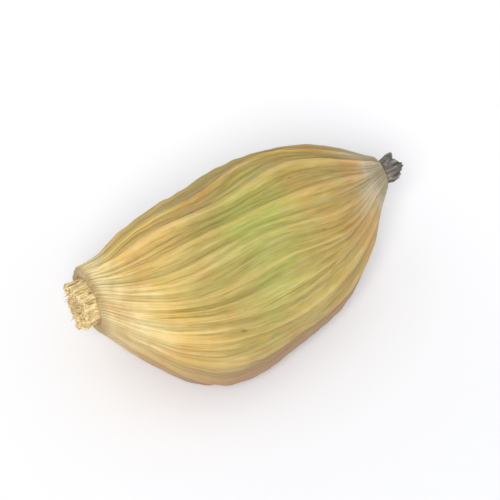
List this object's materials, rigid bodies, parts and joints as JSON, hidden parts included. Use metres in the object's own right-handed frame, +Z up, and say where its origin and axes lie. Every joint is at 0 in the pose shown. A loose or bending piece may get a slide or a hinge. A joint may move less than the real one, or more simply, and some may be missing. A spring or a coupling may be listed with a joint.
{
  "type": "green cardamom pod",
  "caption": "Dried green cardamom pod: a three-cornered, ribbed, slightly bowed capsule with a torn stalk stub and a withered flower stub, lying on a small flat spot.",
  "frame": {"origin": "under the middle of the pod's box, on the plane of the flat spot that it rests on", "axes": "+X from the stalk end to the flower end, +Z up, -Y towards the side that the belly bows to"},
  "size_m": [0.0154, 0.0088, 0.0078],
  "materials": {
    "husk": "dry papery rind, yellow-green to tan along its ribs, low satin sheen",
    "stalk": "pale straw, dry torn fibre, matte",
    "flower": "withered, dark grey-brown, matte"
  },
  "bodies": {
    "root": {"husk": "husk", "stalk_stub": "stalk", "flower_stub": "flower"}
  },
  "joints": []
}
